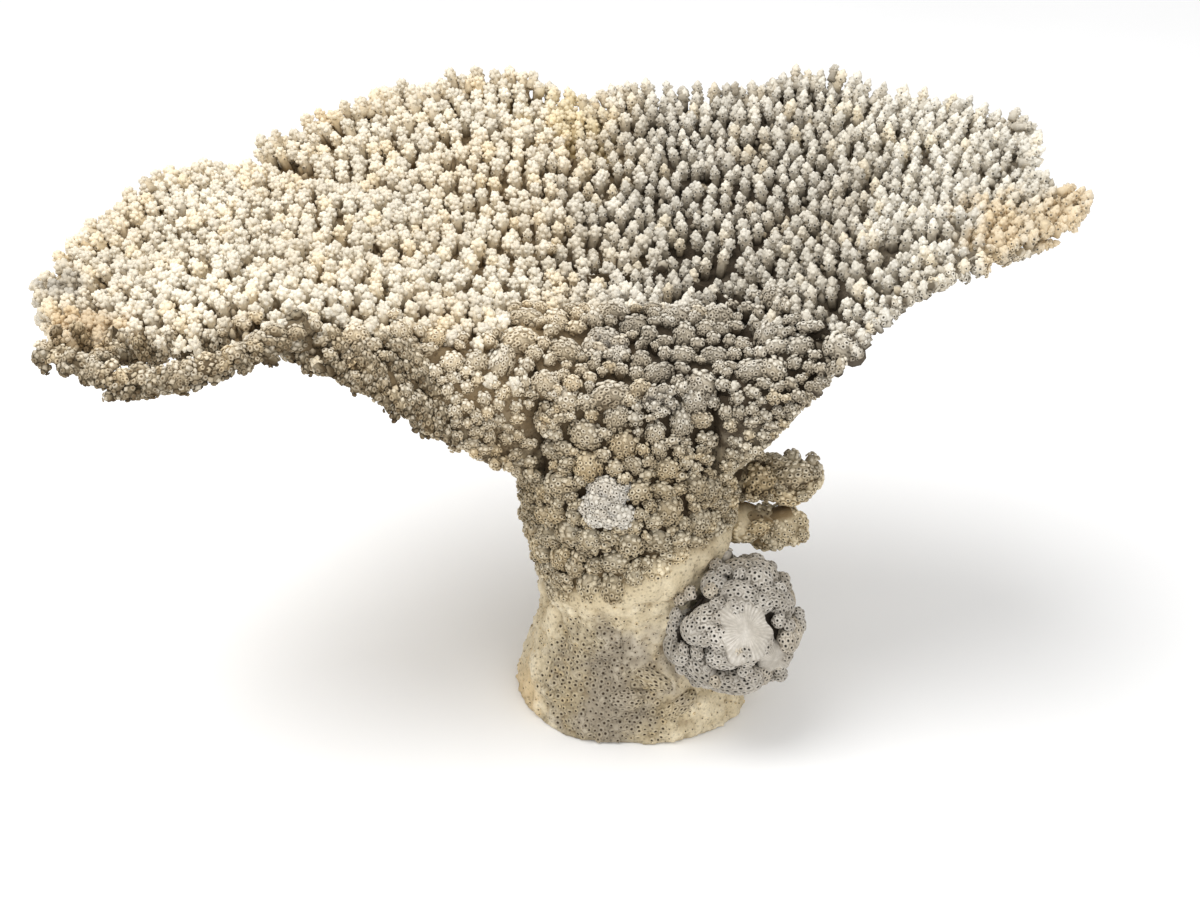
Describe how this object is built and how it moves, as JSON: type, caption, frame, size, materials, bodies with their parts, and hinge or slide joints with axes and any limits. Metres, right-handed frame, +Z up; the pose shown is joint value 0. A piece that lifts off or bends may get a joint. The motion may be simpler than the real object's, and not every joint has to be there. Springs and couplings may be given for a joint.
{
  "type": "staghorn table coral skeleton",
  "caption": "Dried table-form staghorn coral: short cut stem with a side growth, fronds fanning into a lopsided table of small branchlets.",
  "frame": {"origin": "middle of the flat cut face under the foot", "axes": "+Z up from the cut face, +X to the right as seen from the open front of the table, +Y to the back"},
  "size_m": [0.3799, 0.2098, 0.219],
  "materials": {
    "cream_skeleton": "matt, chalky",
    "grey_skeleton": "matt, chalky, dark in the gaps",
    "tan_skeleton": "matt, porous",
    "pale_growth": "matt, porous"
  },
  "bodies": {
    "root": {"foot": "tan_skeleton", "stem": "tan_skeleton", "rounded_growth": "pale_growth", "upper_side_branch": "tan_skeleton", "lower_side_branch": "tan_skeleton", "right_front_frond": "grey_skeleton", "right_frond": "grey_skeleton", "back_right_frond": "grey_skeleton", "back_frond": "grey_skeleton", "back_left_frond": "cream_skeleton", "left_frond": "cream_skeleton", "left_front_frond": "cream_skeleton", "left_ledge_branch": "cream_skeleton"}
  },
  "joints": []
}
